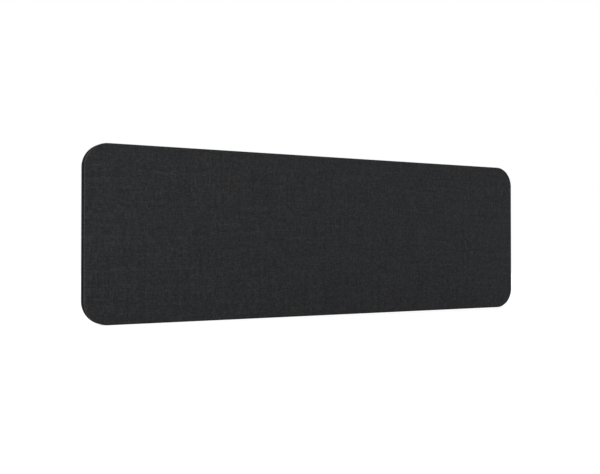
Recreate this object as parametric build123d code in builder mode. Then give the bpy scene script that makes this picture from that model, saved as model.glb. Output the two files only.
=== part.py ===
from build123d import *
import os

# Desk divider screen, in millimetres. X runs along the screen, the front faces -Y and Z is up.
# The origin is on the desk, under the middle of the screen.

# Driving sizes of the whole screen
screen_length = 1400.0
screen_height = 450.0
corner_radius = 60.0

# Layers, from the middle of the thickness outwards
timber_depth = 18.0
board_depth = 3.0
wadding_depth = 3.0
fabric = 1.0

# Fabric rims, and the recess between them that holds the zip
recess_depth = 8.0
roll_radius = 3.0
hem_radius = 0.8

# Clearances
soft_gap = 0.3
seat_gap = 0.1
run_gap = 0.3
end_gap = 1.0
bore_gap = 0.05

# Timber frame
rail_width = 60.0
middle_stile_width = 44.0
bay_count = 3
dowel_diameter = 8.0
dowel_length = 36.0
rail_dowel_shares = (0.25, 0.55)
middle_dowel_shares = (0.25, 0.75)

# Countersunk screws that hold the boards
screw_pitch = 180.0
screw_length = 10.0
screw_diameter = 3.0
screw_head_diameter = 6.0
screw_head_angle = 90.0
screw_hole_gap = 0.1

# Zip: two tapes, two rows of teeth and what ends them
tape_thickness = 0.6
tape_end_gap = 4.0
teeth_height = 2.4
teeth_width = 2.6
teeth_slit = 1.1
stop_length = 2.0
stop_proud = 0.2
stop_place = 8.0
box_length = 7.0
box_width = 8.0
box_proud = 0.4
box_place = 7.0
box_corner = 1.0

# Zip slider
slider_length = 12.0
slider_width = 10.0
slider_plate = 1.2
slider_corner = 1.5
slider_flange = 1.0
web_length = 4.0
web_thickness = 0.5
bridge_length = 10.0
bridge_width = 1.6
bridge_thickness = 0.9
bridge_opening = 1.6
bridge_corner = 0.6

# Slider pull
pull_thickness = 1.0
pull_reach = 24.0
pull_width = 6.0
pull_neck = 4.8
pull_arm = 1.0
pull_corner = 2.4
pull_edge = 0.3

# Places worked out from the sizes above
timber_half = timber_depth / 2
board_face = timber_half + board_depth
wadding_face = board_face + wadding_depth
screen_half = wadding_face + fabric
rim_start = timber_half - fabric
filling_inset = fabric + soft_gap

tape_inner = recess_depth - seat_gap
tape_outer = tape_inner - tape_thickness
teeth_inner = tape_outer - seat_gap
teeth_outer = teeth_inner - teeth_height
slit_half = teeth_slit / 2
teeth_side = slit_half + teeth_width

plate_top = teeth_outer - run_gap
plate_low = plate_top - slider_plate
foot_low = tape_inner + run_gap
foot_top = foot_low + slider_plate
pivot_height = plate_low - bridge_opening / 2
slider_rest = stop_place + stop_length + run_gap + slider_length / 2

frame_end = screen_length / 2 - recess_depth
frame_low = recess_depth
frame_top = screen_height - recess_depth
inner_end = frame_end - rail_width
inner_low = frame_low + rail_width
inner_top = frame_top - rail_width
bay_length = (2 * inner_end - (bay_count - 1) * middle_stile_width) / bay_count
bay_pitch = bay_length + middle_stile_width
bay_middles = [(i - (bay_count - 1) / 2) * bay_pitch for i in range(bay_count)]
stile_middles = [middle + bay_pitch / 2 for middle in bay_middles[:-1]]

sides = {"front": -1, "rear": 1}
os.makedirs("parts", exist_ok=True)


def face_plane(side, depth):
    """Plane at a depth from the middle of the thickness, facing out on that side, with Z up."""
    return Plane(origin=(0, side * depth, 0), x_dir=(-side, 0, 0), z_dir=(0, side, 0))


def outline(inset, mode=Mode.ADD):
    """Rounded outline of the screen, moved in by an inset."""
    with Locations((0, screen_height / 2)):
        RectangleRounded(
            screen_length - 2 * inset, screen_height - 2 * inset, corner_radius - inset, mode=mode
        )


def slab(side, near, far, inset, roll=0):
    """Layer of the screen between two depths, with its outer edge rolled where asked."""
    with BuildPart() as layer:
        with BuildSketch(face_plane(side, near)):
            outline(inset)
        extrude(amount=far - near)
        if roll:
            outer_face = layer.faces().sort_by(Axis((0, 0, 0), (0, side, 0)))[-1]
            fillet(outer_face.edges(), roll)
    return layer.part


def band(side, near, far, outer_inset, inner_inset):
    """Closed band that follows the edge of the screen, between two insets and two depths."""
    with BuildPart() as strip:
        with BuildSketch(face_plane(side, near)):
            outline(outer_inset)
            outline(inner_inset, mode=Mode.SUBTRACT)
        extrude(amount=far - near)
    return strip.part


def block(low, high, mode=Mode.ADD):
    """Box between two corners, each (x, y, z)."""
    size = [b - a for a, b in zip(low, high)]
    middle = [(a + b) / 2 for a, b in zip(low, high)]
    with Locations(tuple(middle)):
        Box(*size, mode=mode)


def save(part, name):
    """Label a finished piece and write it to its own file."""
    part.label = name
    export_step(part, f"parts/{name}.step")


def screw_places(x_low, z_low, x_high, z_high):
    """Places of the board screws in a frame member, along its longer side."""
    length, height = x_high - x_low, z_high - z_low
    count = max(1, round(max(length, height) / screw_pitch))
    steps = [(i + 0.5) / count for i in range(count)]
    if length > height:
        return [(x_low + step * length, (z_low + z_high) / 2) for step in steps]
    return [((x_low + x_high) / 2, z_low + step * height) for step in steps]


# Frame members, each by its corners: x and z of the lower left, then of the upper right
members = {
    "frame_bottom_rail": (-inner_end, frame_low, inner_end, inner_low),
    "frame_top_rail": (-inner_end, inner_top, inner_end, frame_top),
    "frame_left_stile": (-frame_end, inner_low, -inner_end, inner_top),
    "frame_right_stile": (inner_end, inner_low, frame_end, inner_top),
    "corner_block_bottom_left": (-frame_end, frame_low, -inner_end, inner_low),
    "corner_block_bottom_right": (inner_end, frame_low, frame_end, inner_low),
    "corner_block_top_left": (-frame_end, inner_top, -inner_end, frame_top),
    "corner_block_top_right": (inner_end, inner_top, frame_end, frame_top),
}
for i, middle in enumerate(stile_middles):
    members[f"frame_middle_stile_{i + 1}"] = (
        middle - middle_stile_width / 2,
        inner_low,
        middle + middle_stile_width / 2,
        inner_top,
    )

# Dowels across the joints of the frame: along X between rails and blocks, else along Z
dowel_places = []
for share in rail_dowel_shares:
    step = share * rail_width
    for end in (-1, 1):
        for height in (frame_low + step, frame_top - step):
            dowel_places.append(Location((end * inner_end, 0, height), (0, 90, 0)))
        for height in (inner_low, inner_top):
            dowel_places.append(Location((end * (frame_end - step), 0, height)))
for share in middle_dowel_shares:
    for middle in stile_middles:
        for height in (inner_low, inner_top):
            place = middle + (share - 0.5) * middle_stile_width
            dowel_places.append(Location((place, 0, height)))

# Groove in the edge of the frame, which the foot of the zip slider runs in
groove_half = slider_width / 2 + 2 * run_gap
with BuildPart() as groove:
    for side in sides.values():
        add(band(side, 0, groove_half, 0, foot_top + run_gap))

all_screws = []
for name, corners in members.items():
    x_low, z_low, x_high, z_high = corners
    places = screw_places(*corners)
    all_screws += places
    with BuildPart() as member:
        with BuildSketch(Plane.XZ.offset(-timber_half)):
            outline(recess_depth)
            with Locations(((x_low + x_high) / 2, (z_low + z_high) / 2)):
                Rectangle(x_high - x_low, z_high - z_low, mode=Mode.INTERSECT)
        extrude(amount=timber_depth)
        add(groove.part, mode=Mode.SUBTRACT)
        with Locations(*dowel_places):
            Cylinder(
                dowel_diameter / 2 + bore_gap, dowel_length + 2 * end_gap, mode=Mode.SUBTRACT
            )
        for side in sides.values():
            with BuildSketch(face_plane(side, timber_half)):
                with Locations(*[(-side * x, z) for x, z in places]):
                    Circle(screw_diameter / 2 + bore_gap)
            extrude(amount=board_depth - screw_length - bore_gap, mode=Mode.SUBTRACT)
    save(member.part, name)

with BuildPart() as frame_dowels:
    with Locations(*dowel_places):
        Cylinder(dowel_diameter / 2, dowel_length)
save(frame_dowels.part, "frame_dowels")

# Absorber slabs that fill the bays of the frame
for i, middle in enumerate(bay_middles):
    with BuildPart() as absorber:
        block(
            (middle - bay_length / 2 + soft_gap, -timber_half, inner_low + soft_gap),
            (middle + bay_length / 2 - soft_gap, timber_half, inner_top - soft_gap),
        )
    save(absorber.part, f"absorber_slab_{i + 1}")

# Layers on each side of the frame: board and its screws, wadding and fabric cover
for name, side in sides.items():
    screws = [(-side * x, z) for x, z in all_screws]

    with BuildPart() as board:
        add(slab(side, timber_half, board_face, filling_inset))
        with Locations(face_plane(side, board_face)):
            with Locations(*screws):
                CounterSinkHole(
                    screw_diameter / 2 + screw_hole_gap,
                    screw_head_diameter / 2 + screw_hole_gap,
                    board_depth,
                    screw_head_angle,
                )
    save(board.part, f"{name}_board")

    head_height = (screw_head_diameter - screw_diameter) / 2
    with BuildPart() as board_screws:
        with Locations(face_plane(side, board_face)):
            with Locations(*screws):
                Cone(
                    screw_diameter / 2,
                    screw_head_diameter / 2,
                    head_height,
                    align=(Align.CENTER, Align.CENTER, Align.MAX),
                )
                Cylinder(
                    screw_diameter / 2,
                    screw_length,
                    align=(Align.CENTER, Align.CENTER, Align.MAX),
                )
    save(board_screws.part, f"{name}_board_screws")

    with BuildPart() as wadding:
        add(slab(side, board_face, wadding_face, filling_inset, roll_radius - fabric))
    save(wadding.part, f"{name}_wadding")

    with BuildPart() as cover:
        add(slab(side, rim_start, screen_half, 0, roll_radius))
        hem_face = cover.faces().sort_by(Axis((0, 0, 0), (0, side, 0)))[0]
        fillet(hem_face.edges(), hem_radius)
        add(
            slab(side, timber_half, wadding_face, fabric, roll_radius - fabric),
            mode=Mode.SUBTRACT,
        )
        add(slab(side, rim_start, timber_half, tape_outer - seat_gap), mode=Mode.SUBTRACT)
    save(cover.part, f"{name}_cover")

    with BuildPart() as zip_tape:
        add(band(side, slit_half, timber_half - seat_gap, tape_outer, tape_inner))
        block(
            (-tape_end_gap / 2, -timber_half, 0),
            (tape_end_gap / 2, timber_half, frame_low),
            mode=Mode.SUBTRACT,
        )
    save(zip_tape.part, f"{name}_zip_tape")

    with BuildPart() as zip_teeth:
        add(band(side, slit_half, teeth_side, teeth_outer, teeth_inner))
        block(
            (-box_place - box_length - seat_gap, -timber_half, 0),
            (stop_place + stop_length + seat_gap, timber_half, frame_low),
            mode=Mode.SUBTRACT,
        )
    save(zip_teeth.part, f"{name}_zip_teeth")

# Box that the rows of teeth start in, at the middle of the bottom edge
with BuildPart() as zip_start_box:
    with BuildSketch(Plane.XY.offset(teeth_outer - box_proud)):
        with Locations((-box_place - box_length / 2, 0)):
            RectangleRounded(box_length, box_width, box_corner)
    extrude(amount=teeth_height + box_proud)
save(zip_start_box.part, "zip_start_box")

# Stops at the other end of the rows, one on each tape
with BuildPart() as zip_end_stops:
    for side in sides.values():
        across = sorted((side * slit_half, side * teeth_side))
        block(
            (stop_place, across[0], teeth_outer - stop_proud),
            (stop_place + stop_length, across[1], teeth_inner),
        )
save(zip_end_stops.part, "zip_end_stops")

# Slider, parked against the stops: plate outside the teeth, foot in the groove of the frame
flange_side = teeth_side + run_gap
with BuildPart() as zip_slider:
    for low in (plate_low, foot_low):
        with BuildSketch(Plane.XY.offset(low)):
            with Locations((slider_rest, 0)):
                RectangleRounded(slider_length, slider_width, slider_corner)
        extrude(amount=slider_plate)
    for side in sides.values():
        across = sorted((side * flange_side, side * (flange_side + slider_flange)))
        block(
            (slider_rest - slider_length / 2 + slider_corner, across[0], plate_top),
            (slider_rest + slider_length / 2 - slider_corner, across[1], tape_outer - run_gap),
        )
    web_start = slider_rest - slider_length / 2 + slider_flange
    block(
        (web_start, -web_thickness / 2, plate_top),
        (web_start + web_length, web_thickness / 2, foot_low),
    )
    with BuildSketch(Plane.XZ.offset(-bridge_width / 2)) as bridge:
        with Locations((slider_rest, plate_low)):
            RectangleRounded(
                bridge_length, 2 * (bridge_opening + bridge_thickness), bridge_corner
            )
            Rectangle(
                bridge_length - 2 * bridge_thickness, 2 * bridge_opening, mode=Mode.SUBTRACT
            )
            Rectangle(
                bridge_length,
                bridge_opening + bridge_thickness,
                align=(Align.CENTER, Align.MIN),
                mode=Mode.SUBTRACT,
            )
    extrude(amount=bridge_width)
save(zip_slider.part, "zip_slider")

# Pull, folded back over the closed teeth: a bar through the bridge, two arms and a tab
arm_inner = bridge_width / 2 + run_gap * 2
window_end = bridge_length / 2 + 2 * run_gap
with BuildPart() as slider_pull:
    with BuildSketch(Plane(origin=(slider_rest, 0, pivot_height - pull_thickness / 2))):
        neck_side = arm_inner + pull_arm
        with BuildLine():
            Polyline(
                (-pull_thickness / 2, -neck_side),
                (window_end, -neck_side),
                (window_end + pull_neck, -pull_width / 2),
                (pull_reach, -pull_width / 2),
                (pull_reach, pull_width / 2),
                (window_end + pull_neck, pull_width / 2),
                (window_end, neck_side),
                (-pull_thickness / 2, neck_side),
                close=True,
            )
        make_face()
    extrude(amount=pull_thickness)
    tip = slider_pull.edges().filter_by(Axis.Z).group_by(Axis.X)[-1]
    fillet(tip, pull_corner)
    block(
        (slider_rest + pull_thickness / 2, -arm_inner, 0),
        (slider_rest + window_end, arm_inner, plate_low),
        mode=Mode.SUBTRACT,
    )
    bar_edges = slider_pull.edges().filter_by(Axis.Y).group_by(Axis.X)[0]
    fillet(bar_edges, pull_edge)
save(slider_pull.part, "slider_pull")
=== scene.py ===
import logging
import math
from collections.abc import Callable, Iterable
from dataclasses import dataclass
from enum import Enum
from functools import cache, reduce
from typing import TypeVar

import bmesh
import bpy
from mathutils import Matrix, Vector, noise


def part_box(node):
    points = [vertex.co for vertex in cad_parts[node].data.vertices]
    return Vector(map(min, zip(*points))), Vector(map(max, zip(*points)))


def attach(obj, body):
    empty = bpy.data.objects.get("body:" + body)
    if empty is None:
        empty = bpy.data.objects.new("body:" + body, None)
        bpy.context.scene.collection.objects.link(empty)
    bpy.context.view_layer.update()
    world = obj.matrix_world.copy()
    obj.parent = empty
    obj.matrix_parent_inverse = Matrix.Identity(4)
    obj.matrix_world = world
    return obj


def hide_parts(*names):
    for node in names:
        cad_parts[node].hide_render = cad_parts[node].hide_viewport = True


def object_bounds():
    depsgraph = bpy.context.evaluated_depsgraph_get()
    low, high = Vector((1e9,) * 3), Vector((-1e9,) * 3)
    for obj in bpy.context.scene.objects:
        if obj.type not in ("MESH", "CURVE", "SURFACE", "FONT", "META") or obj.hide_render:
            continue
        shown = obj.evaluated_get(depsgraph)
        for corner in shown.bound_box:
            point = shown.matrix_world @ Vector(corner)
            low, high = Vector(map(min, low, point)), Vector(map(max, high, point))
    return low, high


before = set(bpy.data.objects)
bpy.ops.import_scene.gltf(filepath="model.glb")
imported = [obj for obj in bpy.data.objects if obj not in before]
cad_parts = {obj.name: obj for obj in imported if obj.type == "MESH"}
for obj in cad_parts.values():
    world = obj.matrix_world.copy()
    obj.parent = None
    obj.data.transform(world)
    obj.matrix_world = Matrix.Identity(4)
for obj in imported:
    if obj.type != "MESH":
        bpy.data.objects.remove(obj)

CAD_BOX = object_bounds()
MM = 0.001
QUARTER = math.pi / 2
SPIN_AXIS = (0, -1, 0)
SAME_SPOT = 0.001 * MM
SAME_LEVEL = 0.01 * MM
SHARP_ANGLE = math.radians(50)
SOFT_ANGLE = math.radians(40)
SOFT_WIDTH = 0.16 * MM
SOFT_STEPS = 3
CLOTH_MAP = "cloth"
WHITE = (1.0, 1.0, 1.0, 1.0)
log = logging.getLogger("desk_screen")

Point = tuple[float, float]
Range = tuple[float, float]
Colour = tuple[float, float, float]
Spot = tuple[float, float, float]
Item = TypeVar("Item")
Inputs = dict[str | int, object]
Node = bpy.types.Node
Socket = bpy.types.NodeSocket
Sockets = bpy.types.NodeOutputs
Piece = bpy.types.Object
Shape = bmesh.types.BMesh
Vert = bmesh.types.BMVert
Ring = list[bmesh.types.BMEdge]


class Side(Enum):
    """The two faces of the screen, with the sign of Y on each."""

    FRONT = -1
    REAR = 1

    @property
    def word(self) -> str:
        """The side's name as the pieces use it."""
        return self.name.lower()


class Graph:
    """Adds nodes to one node tree and joins them."""

    def __init__(self, tree: bpy.types.NodeTree) -> None:
        """Empties the tree and starts on it."""
        self.tree = tree
        tree.nodes.clear()

    def add(self, kind: str, inputs: Inputs | None = None, **settings: object) -> Node:
        """Adds a node.

        Args:
            kind: The node's type without its ShaderNode prefix, or a whole type name.
            inputs: Values or sockets for the node's inputs, by name or place.
            settings: Attributes of the node.

        Returns:
            The node.
        """
        name = kind if kind.startswith("Node") else f"ShaderNode{kind}"
        node = self.tree.nodes.new(name)
        for key, value in settings.items():
            setattr(node, key, value)
        for key, value in (inputs or {}).items():
            self.feed(node.inputs[key], value)
        return node

    def feed(self, socket: Socket, value: object) -> None:
        """Joins a socket to an input, or sets the input to a value.

        Args:
            socket: The input.
            value: Another node's output, or a number, vector or colour.
        """
        if isinstance(value, Socket):
            self.tree.links.new(value, socket)
        else:
            socket.default_value = value

    def math(self, operation: str, *values: object, clamp: bool = False) -> Socket:
        """Adds a Math node.

        Args:
            operation: The node's operation.
            values: Its inputs in order, each a number or a socket.
            clamp: Whether the result is kept from 0 to 1.

        Returns:
            The result.
        """
        node = self.add("Math", dict(enumerate(values)), operation=operation, use_clamp=clamp)
        return node.outputs[0]

    def chain(self, operation: str, values: Iterable[object]) -> Socket:
        """Takes any number of values together by one operation, two at a time."""
        return reduce(lambda one, other: self.math(operation, one, other), values)

    def vector(self, operation: str, inputs: Inputs) -> Socket:
        """Adds a Vector Math node and returns its vector."""
        return self.add("VectorMath", inputs, operation=operation).outputs[0]

    def split(self, vector: Socket) -> Sockets:
        """Parts a vector into X, Y and Z."""
        return self.add("SeparateXYZ", {0: vector}).outputs

    def channels(self, colour: Socket) -> Sockets:
        """Parts a colour into its three channels, which can stand for any three values."""
        return self.add("SeparateColor", {0: colour}).outputs

    def remap(self, value: object, low: float, high: float, clamp: bool = False) -> Socket:
        """Spreads a value from 0 to 1 over another range."""
        return self.math("MULTIPLY_ADD", value, high - low, low, clamp=clamp)

    def share(self, wave: Socket) -> Socket:
        """Turns a value from -1 to 1 into one from 0 to 1."""
        return self.math("MULTIPLY_ADD", wave, 0.5, 0.5)

    def blend(self, share: object, low: object, high: object) -> Socket:
        """Mixes two numbers."""
        return self.add("Mix", {0: share, 2: low, 3: high}, data_type="FLOAT").outputs[0]

    def mix(self, share: object, low: object, high: object, blend: str = "MIX") -> Socket:
        """Mixes two colours.

        Args:
            share: How much of the second colour shows.
            low: The first colour.
            high: The second colour.
            blend: The blend mode.

        Returns:
            The mixed colour.
        """
        inputs = {0: share, 6: low, 7: high}
        return self.add("Mix", inputs, data_type="RGBA", blend_type=blend).outputs[2]


@dataclass(frozen=True)
class Noise:
    """A noise texture.

    Attributes:
        scale: Its spots in a metre.
        detail: Finer layers in it.
        roughness: How strongly the finer layers show.
        distortion: How far its spots are bent.
    """

    scale: float = 1.0
    detail: float = 2.0
    roughness: float = 0.5
    distortion: float = 0.0

    def at(self, graph: Graph, place: Socket, unit: Socket | None = None) -> Sockets:
        """Adds the texture to a tree.

        Args:
            graph: The tree.
            place: Where the texture is read.
            unit: What its scale is multiplied by.

        Returns:
            The texture's value and its colour, whose channels are three more values.
        """
        scale = self.scale if unit is None else graph.math("MULTIPLY", unit, self.scale)
        inputs = {
            "Vector": place,
            "Scale": scale,
            "Detail": self.detail,
            "Roughness": self.roughness,
            "Distortion": self.distortion,
        }
        return graph.add("TexNoise", inputs).outputs


class Effect:
    """A node group with named sockets, built once and used by several materials.

    Attributes:
        name: The group's name.
        takes: Its inputs, each with its kind. A material gives all of them.
        gives: Its outputs, all of them numbers.
    """

    name = ""
    takes: dict[str, str] = {}
    gives: tuple[str, ...] = ()

    @cache
    def group(self) -> bpy.types.NodeTree:
        """Builds the group when it is first asked for, and then gives the same one again.

        Returns:
            The group's tree.
        """
        tree = bpy.data.node_groups.new(self.name, "ShaderNodeTree")
        for name, kind in self.takes.items():
            tree.interface.new_socket(name, in_out="INPUT", socket_type=f"NodeSocket{kind}")
        for name in self.gives:
            tree.interface.new_socket(name, in_out="OUTPUT", socket_type="NodeSocketFloat")
        graph = Graph(tree)
        given = graph.add("NodeGroupInput").outputs
        graph.add("NodeGroupOutput", dict(zip(self.gives, self.build(graph, given))))
        return tree

    def build(self, graph: Graph, given: Sockets) -> Iterable[Socket]:
        """Makes the effect's nodes.

        Args:
            graph: The group's tree.
            given: The group's inputs.

        Returns:
            The values that the group gives, in their order.
        """
        raise NotImplementedError

    def place(self, graph: Graph, inputs: Inputs) -> Sockets:
        """Puts the effect into a material.

        Args:
            graph: The material's tree.
            inputs: Values or sockets for the effect's inputs.

        Returns:
            The effect's outputs.
        """
        return graph.add("Group", inputs, node_tree=self.group()).outputs


@dataclass(frozen=True)
class PlainWeave(Effect):
    """Warp and weft yarns that pass over each other by turns, each thick and thin along its way.

    Attributes:
        sway: Where the yarns wander from their straight lines.
        slubs: How a yarn's tone, hue and thickness change along its way.
        first_yarn: Where the first warp yarn reads the slubs.
        yarn_step: Distance from one yarn's slubs to the next one's.
        weft_step: Distance from the warp's slubs to the weft's.
        widths: Thinnest and thickest yarn, as shares of the distance between yarns.
        strands: The fibres of a yarn.
        twist: How steeply the fibres wind round it.
        slimness: Width of a fibre as a share of its length.
    """

    sway: Noise = Noise(90.0, detail=3.0)
    slubs: Noise = Noise(detail=3.0, roughness=0.6)
    first_yarn: float = 0.4
    yarn_step: float = 5.37
    weft_step: float = 31.0
    widths: Range = (0.8, 1.3)
    strands: Noise = Noise(6500.0)
    twist: float = 0.5
    slimness: float = 0.22

    name = "plain_weave"
    takes = {"Place": "Vector", "Yarn": "Float", "Slub": "Float", "Wander": "Float"}
    gives = ("Height", "Tone", "Hue", "Fibre")

    def build(self, graph: Graph, given: Sockets) -> Iterable[Socket]:
        """Makes the yarns, and finds which of the two at each crossing is on top.

        Args:
            graph: The group's tree.
            given: The group's inputs.

        Returns:
            The height, tone, hue and fibres of the yarn on top.
        """
        split = graph.split(self.wandered(graph, given))
        lines = [graph.math("DIVIDE", split[i], given["Yarn"]) for i in (0, 1)]
        numbers = [graph.math("FLOOR", line) for line in lines]
        spots = [graph.math("SUBTRACT", graph.math("FRACT", line), 0.5) for line in lines]
        odd = graph.math("FLOORED_MODULO", graph.math("ADD", *numbers), 2.0)
        warp_up = graph.remap(odd, 1.0, -1.0)
        weft_up = graph.math("MULTIPLY", warp_up, -1.0)
        looks = []
        for i, up in enumerate((warp_up, weft_up)):
            other = 1 - i
            tone, hue, _ = self.slub(graph, given, numbers[i], split[other], i)
            height = self.yarn(graph, spots[i], spots[other], up, tone)
            looks.append((height, tone, hue, self.fibre(graph, split[i], split[other])))
        on_top = graph.math("GREATER_THAN", looks[1][0], looks[0][0])
        return [graph.blend(on_top, *pair) for pair in zip(*looks)]

    def wandered(self, graph: Graph, given: Sockets) -> Socket:
        """Moves the place on the cloth a little, so that no yarn runs quite straight.

        Args:
            graph: The group's tree.
            given: The group's inputs.

        Returns:
            The moved place.
        """
        pull = self.sway.at(graph, given["Place"])["Color"]
        pull = graph.vector("SUBTRACT", {0: pull, 1: (0.5, 0.5, 0.5)})
        pull = graph.vector("SCALE", {0: pull, "Scale": given["Wander"]})
        return graph.vector("ADD", {0: given["Place"], 1: pull})

    def slub(
        self, graph: Graph, given: Sockets, number: Socket, along: Socket, kind: int
    ) -> Sockets:
        """What changes along one yarn.

        Args:
            graph: The group's tree.
            given: The group's inputs.
            number: The yarn's number.
            along: The place along it.
            kind: 0 for warp and 1 for weft.

        Returns:
            The yarn's tone, which goes with its thickness, then its hue and a spare value.
        """
        first = self.first_yarn + self.weft_step * kind
        row = graph.math("MULTIPLY_ADD", number, self.yarn_step, first)
        way = graph.math("DIVIDE", along, given["Slub"])
        spot = graph.add("CombineXYZ", {"X": row, "Y": way}).outputs[0]
        return graph.channels(self.slubs.at(graph, spot)["Color"])

    def yarn(
        self, graph: Graph, across: Socket, along: Socket, up: Socket, slub: Socket
    ) -> Socket:
        """The height of one set of yarns.

        Args:
            graph: The group's tree.
            across: Place across the yarn, from its middle.
            along: Place along it, from the middle of the crossing.
            up: 1 where the yarn is on top at this crossing, and -1 where it is below.
            slub: The yarn's thickness here, from 0 to 1.

        Returns:
            The height, from 0 to 1 on the crown of a crossing.
        """
        width = graph.remap(slub, *self.widths)
        out = graph.math("DIVIDE", graph.math("MULTIPLY", across, 2.0), width)
        round_top = graph.math("SUBTRACT", 1.0, graph.math("MULTIPLY", out, out), clamp=True)
        bend = graph.math("COSINE", graph.math("MULTIPLY", along, math.pi))
        wave = graph.share(graph.math("MULTIPLY", bend, up))
        return graph.math("MULTIPLY", round_top, wave)

    def fibre(self, graph: Graph, across: Socket, along: Socket) -> Socket:
        """Twisted fibres along a yarn.

        Args:
            graph: The group's tree.
            across: Place across the yarn, in metres.
            along: Place along it, in metres.

        Returns:
            The fibres, from 0 to 1.
        """
        wound = graph.math("MULTIPLY_ADD", along, self.twist, across)
        drawn = graph.math("MULTIPLY", along, self.slimness)
        spot = graph.add("CombineXYZ", {"X": wound, "Y": drawn}).outputs[0]
        return self.strands.at(graph, spot)["Fac"]


@dataclass(frozen=True)
class Grain(Effect):
    """Long grain lines with finer pores, for timber and board.

    Attributes:
        lines: The grain lines, whose scale is set by the material.
        pores: The pores, whose scale is counted in that of the lines.
    """

    lines: Noise = Noise(detail=5.0, distortion=0.6)
    pores: Noise = Noise(12.0, detail=3.0)

    name = "grain"
    takes = {"Place": "Vector", "Stretch": "Float", "Scale": "Float"}
    gives = ("Line", "Pore")

    def build(self, graph: Graph, given: Sockets) -> Iterable[Socket]:
        """Makes the grain lines and the pores.

        Args:
            graph: The group's tree.
            given: The group's inputs.

        Returns:
            The lines and the pores, each from 0 to 1.
        """
        stretch = graph.add("CombineXYZ", {"X": given["Stretch"], "Y": 1.0, "Z": 1.0})
        place = graph.vector("MULTIPLY", {0: given["Place"], 1: stretch.outputs[0]})
        return [part.at(graph, place, given["Scale"])["Fac"] for part in (self.lines, self.pores)]


@dataclass(frozen=True)
class Fibres(Effect):
    """Tangled fibres of a fleece or felt.

    Attributes:
        tangle: The single fibres, whose scale is set by the material.
        clumps: The clumps that they lie in, whose scale is counted in that of the fibres.
    """

    tangle: Noise = Noise(detail=5.0, distortion=1.8)
    clumps: Noise = Noise(0.12)

    name = "fibres"
    takes = {"Place": "Vector", "Scale": "Float"}
    gives = ("Tangle", "Clump")

    def build(self, graph: Graph, given: Sockets) -> Iterable[Socket]:
        """Makes the single fibres and the clumps."""
        parts = (self.tangle, self.clumps)
        return [part.at(graph, given["Place"], given["Scale"])["Fac"] for part in parts]


WEAVE, GRAIN, FIBRES = PlainWeave(), Grain(), Fibres()


def opaque(colour: Colour, share: float = 1.0) -> tuple[float, ...]:
    """A share of a colour, with nothing showing through it."""
    return (*(part * share for part in colour), 1.0)


def nodes_of(owner: bpy.types.Material | bpy.types.World) -> Graph:
    """Starts the nodes of a material or of the world."""
    owner.use_nodes = True
    return Graph(owner.node_tree)


@dataclass(frozen=True)
class Finish:
    """A material with one Principled shader.

    Attributes:
        name: The material's name.
        slot: The record's material slot that it belongs to. It is not used.
        colour: Base colour, linear.
        roughness: Roughness of the surface.
        metallic: 1 for bare metal.
    """

    name: str
    slot: str
    colour: Colour
    roughness: float
    metallic: float = 0.0

    @cache
    def material(self) -> bpy.types.Material:
        """Builds the material when it is first asked for, and then gives the same one again.

        Returns:
            The material, which is never the frame's plain one for the slot.
        """
        made = bpy.data.materials.new(self.name)
        graph = nodes_of(made)
        inputs = {
            "Base Color": opaque(self.colour),
            "Roughness": self.roughness,
            "Metallic": self.metallic,
            **self.gloss(),
        }
        shader = graph.add("BsdfPrincipled", inputs)
        graph.add("OutputMaterial", {"Surface": shader.outputs[0]})
        self.dress(graph, shader)
        return made

    def gloss(self) -> Inputs:
        """The shader's other inputs that are the same all over."""
        return {}

    def dress(self, graph: Graph, shader: Node) -> None:
        """Adds the finish's own pattern.

        Args:
            graph: The material's tree.
            shader: Its shader.
        """
        raise NotImplementedError

    def place(self, graph: Graph) -> Socket:
        """The piece's own coordinates, in metres."""
        return graph.add("TexCoord").outputs["Object"]

    def tint(self, graph: Graph, shader: Node, share: Socket, shades: Range) -> None:
        """Lets the base colour go from a darker to a lighter shade.

        Args:
            graph: The material's tree.
            shader: Its shader.
            share: How much of the lighter shade shows.
            shades: The two shades, as shares of the finish's colour.
        """
        low, high = (opaque(self.colour, shade) for shade in shades)
        graph.feed(shader.inputs["Base Color"], graph.mix(share, low, high))

    def bump(self, graph: Graph, shader: Node, height: Socket, depth: float) -> None:
        """Adds a bump to the shader.

        Args:
            graph: The material's tree.
            shader: Its shader.
            height: The height's socket.
            depth: How deep a height of 1 is, in metres.
        """
        bump = graph.add("Bump", {"Height": height, "Distance": depth, "Strength": 1.0})
        graph.feed(shader.inputs["Normal"], bump.outputs[0])


@dataclass(frozen=True)
class Streaks:
    """Darker and lighter streaks in cloth, along the warp and along the weft.

    Attributes:
        pattern: Their noise, whose scale is counted across them.
        slimness: Their width as a share of their length.
        swing: How far their tone goes up and down.
        tint: How far their hue goes either way.
    """

    pattern: Noise
    slimness: float
    swing: float
    tint: float = 0.0

    def at(self, graph: Graph, place: Socket, layer: float) -> list[tuple[Socket, Socket]]:
        """Adds the streaks to a tree.

        Args:
            graph: The tree.
            place: The place on the cloth.
            layer: The layer of the noise that they read, so that no two sets are alike.

        Returns:
            The tone and the hue of the streaks along the weft, and of those along the warp.
        """
        found = []
        for stretch in ((self.slimness, 1.0, 1.0), (1.0, self.slimness, 1.0)):
            inputs = {0: place, 1: stretch, 2: (0.0, 0.0, layer)}
            spot = graph.vector("MULTIPLY_ADD", inputs)
            parts = graph.channels(self.pattern.at(graph, spot)["Color"])
            tone = graph.remap(parts[0], 1.0 - self.swing, 1.0 + self.swing)
            found.append((tone, graph.remap(parts[1], -self.tint, self.tint)))
        return found


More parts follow.
